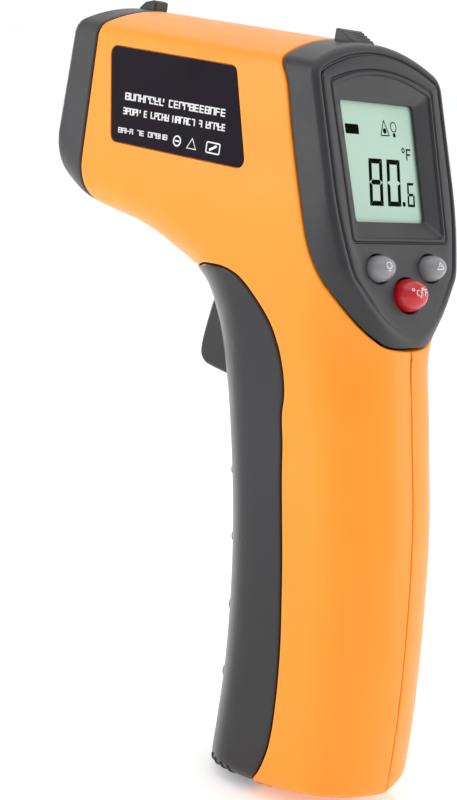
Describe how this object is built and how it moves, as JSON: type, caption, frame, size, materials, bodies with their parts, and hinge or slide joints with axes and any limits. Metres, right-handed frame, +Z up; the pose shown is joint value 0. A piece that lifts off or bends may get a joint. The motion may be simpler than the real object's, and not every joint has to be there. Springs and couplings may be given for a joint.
{
  "type": "infrared thermometer",
  "caption": "Pistol-grip infrared thermometer: trigger, rear display with three keys, side label, nose lens and laser, and a hinged battery door in the front of the grip.",
  "frame": {"origin": "middle of the bounding box, at the foot of the grip", "axes": "+Y the measuring direction (nose), +Z up the grip, +X to the user's right; the display faces -Y and leans back"},
  "size_m": [0.0422, 0.0958, 0.1505],
  "materials": {
    "orange_abs": "satin moulded ABS",
    "charcoal_abs": "fine-grained moulded ABS",
    "bezel_abs": "smooth moulded ABS",
    "steel_pin": "ground",
    "label_film": "printed film",
    "spring_steel": "nickel plated",
    "switch_body": "moulded",
    "switch_tip": "moulded",
    "lens_plastic": "matt black",
    "ir_glass": "coated infrared lens",
    "bright_metal": "drawn can",
    "board": "solder mask",
    "laser_brass": "turned",
    "laser_glass": "clear",
    "lcd_cell": "reflective display glass",
    "diffuser": "milky diffuser",
    "elastomer": "zebra strip",
    "chip_epoxy": "moulded epoxy",
    "key_grey": "silicone-smooth",
    "key_red": "glossy",
    "tray_abs": "moulded",
    "cell_wrap": "printed sleeve",
    "wire_red": "PVC",
    "wire_black": "PVC",
    "ribbon": "flat cable",
    "wire_blue": "PVC",
    "screw_steel": "zinc plated"
  },
  "bodies": {
    "casing": {"left_shell": "orange_abs", "right_shell": "orange_abs", "nose_cap": "charcoal_abs", "rear_bezel": "bezel_abs", "door_hinge_pin": "steel_pin", "side_label": "label_film", "trigger_pin": "steel_pin", "trigger_spring": "spring_steel", "trigger_switch": "switch_body", "lens_tube": "lens_plastic", "ir_lens": "ir_glass", "lens_ring": "bright_metal", "sensor_can": "bright_metal", "sensor_board": "board", "laser_module": "laser_brass", "laser_lens": "laser_glass", "lcd_glass": "lcd_cell", "lcd_backlight": "diffuser", "lcd_connector": "elastomer", "main_board": "board", "controller_chip": "chip_epoxy", "battery_tray": "tray_abs", "cell_1": "cell_wrap", "cell_2": "cell_wrap", "contact_bridge": "spring_steel", "contact_positive": "spring_steel", "contact_negative": "spring_steel", "cell_spring_1": "spring_steel", "cell_spring_2": "spring_steel", "wire_battery_red": "wire_red", "wire_battery_black": "wire_black", "wire_switch": "wire_black", "sensor_ribbon": "ribbon", "laser_lead": "wire_blue", "case_screw_1": "screw_steel", "case_screw_2": "screw_steel", "case_screw_3": "screw_steel", "case_screw_4": "screw_steel", "case_screw_5": "screw_steel", "case_screw_6": "screw_steel", "board_screw_1": "screw_steel", "board_screw_2": "screw_steel", "board_screw_3": "screw_steel", "key_switch_left": "switch_body", "key_switch_right": "switch_body", "key_switch_unit": "switch_body"},
    "door": {"battery_door": "charcoal_abs"},
    "trigger_arm": {"trigger": "charcoal_abs"},
    "plunger": {"switch_plunger": "switch_tip"},
    "left_key": {"button_left": "key_grey", "key_stem_left": "switch_body"},
    "right_key": {"button_right": "key_grey", "key_stem_right": "switch_body"},
    "unit_key": {"button_unit": "key_red", "key_stem_unit": "switch_body"}
  },
  "joints": [
    {"name": "trigger_pull", "type": "hinge", "parent": "casing", "child": "trigger_arm", "pos_m": [0, 0.003, 0.10645], "axis": [-1, 0, 0], "range_deg": [0, 5.5], "stiffness_Nm_per_rad": 0.4, "springref_deg": -5.73, "deforming": ["trigger_spring"]},
    {"name": "switch_press", "type": "slide", "parent": "casing", "child": "plunger", "axis": [0, -1, 0], "range_m": [0, 0.0012]},
    {"name": "left_key_press", "type": "slide", "parent": "casing", "child": "left_key", "axis": [0, 0.9391, -0.3437], "range_m": [0, 0.0008], "stiffness_N_per_m": 1500, "springref_m": -0.0003},
    {"name": "right_key_press", "type": "slide", "parent": "casing", "child": "right_key", "axis": [0, 0.9391, -0.3437], "range_m": [0, 0.0008], "stiffness_N_per_m": 1500, "springref_m": -0.0003},
    {"name": "unit_key_press", "type": "slide", "parent": "casing", "child": "unit_key", "axis": [0, 0.9391, -0.3437], "range_m": [0, 0.0008], "stiffness_N_per_m": 1500, "springref_m": -0.0003},
    {"name": "door_open", "type": "hinge", "parent": "casing", "child": "door", "pos_m": [0, -0.0235, 0.0012], "axis": [-1, 0, 0], "range_deg": [0, 75]}
  ],
  "couplings": [
    {"joint": "switch_press", "follows": "trigger_pull", "m_per_rad": 0.0109}
  ]
}
